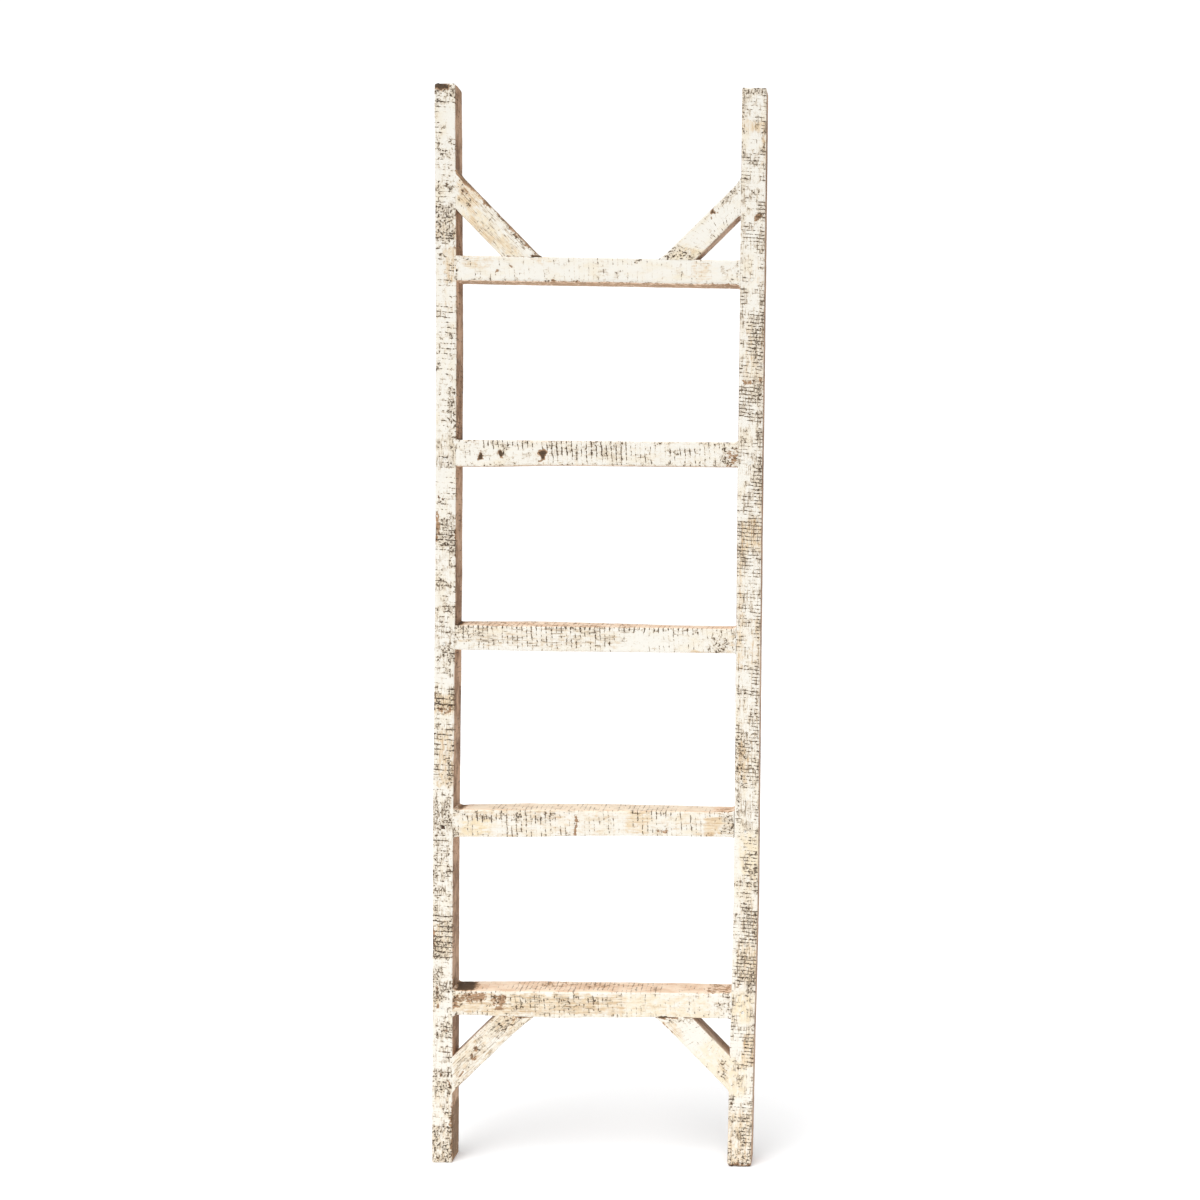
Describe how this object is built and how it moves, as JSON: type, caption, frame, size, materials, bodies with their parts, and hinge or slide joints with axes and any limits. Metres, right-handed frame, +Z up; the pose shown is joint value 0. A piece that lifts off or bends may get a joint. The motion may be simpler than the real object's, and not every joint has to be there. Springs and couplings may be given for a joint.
{
  "type": "wooden blanket ladder",
  "caption": "Upright wooden blanket ladder with two rails, flush rungs and corner braces, for hanging a quilt or throws.",
  "frame": {"origin": "on the floor, midway across the ladder's width and midway through its depth", "axes": "+Z up along the rails, +X to the right seen from the front, +Y towards the back (the wall side), so the front faces -Y"},
  "size_m": [0.508, 0.038, 1.687],
  "materials": {
    "rail_wood": "rough-sawn wood, dry-brushed with cream whitewash, worn to brown on edges and saw marks",
    "rung_wood": "rough-sawn wood, dry-brushed with cream whitewash, tan where it is worn on top",
    "brace_wood": "cream whitewash over smoother wood with tan streaks along the grain",
    "nail_steel": "dark rusted steel, dull"
  },
  "bodies": {
    "root": {"left_rail": "rail_wood", "right_rail": "rail_wood", "rung_1": "rung_wood", "rung_2": "rung_wood", "rung_3": "rung_wood", "rung_4": "rung_wood", "rung_5": "rung_wood", "top_left_brace": "brace_wood", "top_right_brace": "brace_wood", "bottom_left_brace": "brace_wood", "bottom_right_brace": "brace_wood", "rung_1_left_nail": "nail_steel", "rung_1_right_nail": "nail_steel", "rung_2_left_nail": "nail_steel", "rung_2_right_nail": "nail_steel", "rung_3_left_nail": "nail_steel", "rung_3_right_nail": "nail_steel", "rung_4_left_nail": "nail_steel", "rung_4_right_nail": "nail_steel", "rung_5_left_nail": "nail_steel", "rung_5_right_nail": "nail_steel", "top_left_brace_rail_nail": "nail_steel", "top_left_brace_rung_nail": "nail_steel", "top_right_brace_rail_nail": "nail_steel", "top_right_brace_rung_nail": "nail_steel", "bottom_left_brace_rail_nail": "nail_steel", "bottom_left_brace_rung_nail": "nail_steel", "bottom_right_brace_rail_nail": "nail_steel", "bottom_right_brace_rung_nail": "nail_steel"}
  },
  "joints": []
}
